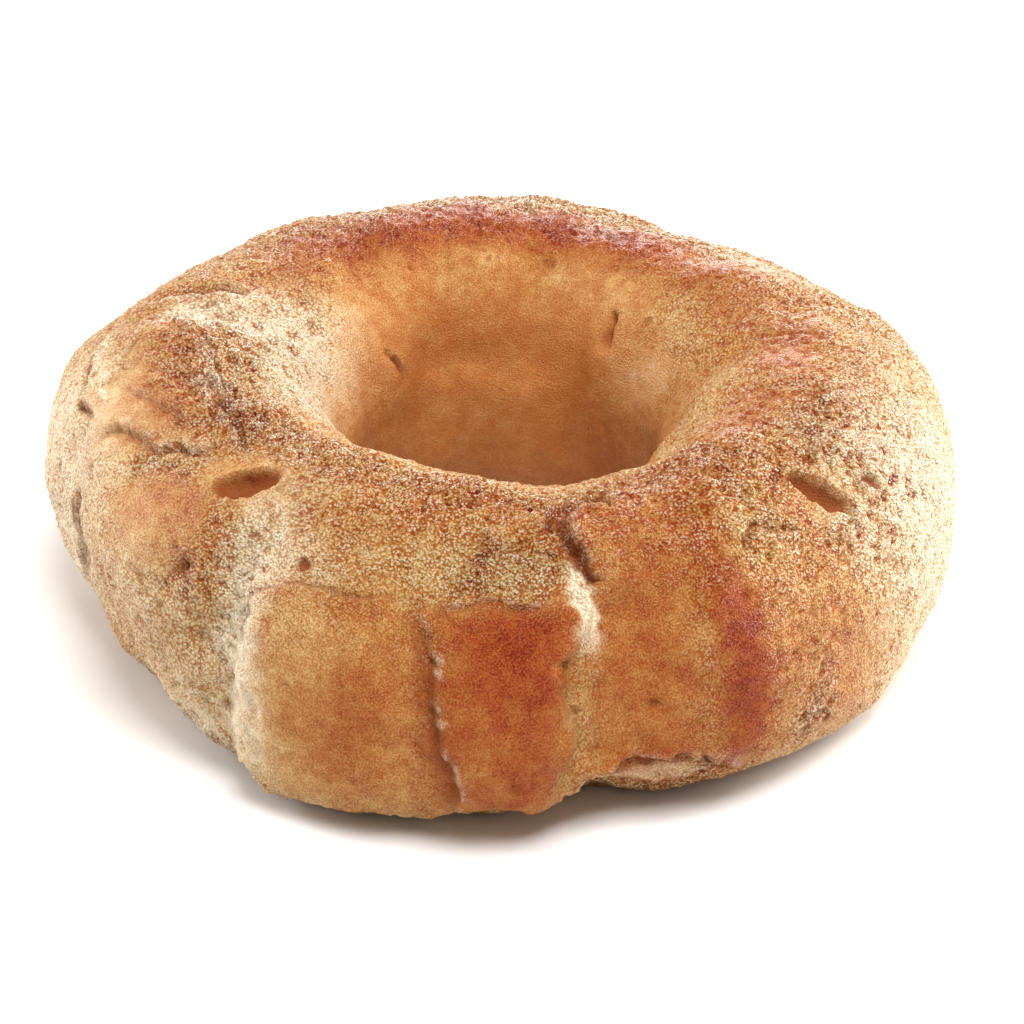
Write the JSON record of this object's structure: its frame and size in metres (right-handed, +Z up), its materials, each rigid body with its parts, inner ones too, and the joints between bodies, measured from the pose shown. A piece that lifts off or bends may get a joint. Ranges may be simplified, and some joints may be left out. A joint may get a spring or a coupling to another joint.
{
  "type": "paris brest pastry",
  "caption": "Empty, uncut choux ring: a puffed, golden, uneven ring of crust with lobes, splits and burst bubbles, a round hole through it and a flat baked base.",
  "frame": {"origin": "on the resting plane, under the middle of the ring's bounding box", "axes": "+Z up through the hole; -Y towards the side with the seam between its lobes, where the viewer stands; +X to that viewer's right"},
  "size_m": [0.0992, 0.1026, 0.0338],
  "materials": {
    "crust": "golden brown baked crust, satin on the browned tops, matte and paler where it split"
  },
  "bodies": {
    "root": {"choux_ring": "crust"}
  },
  "joints": []
}
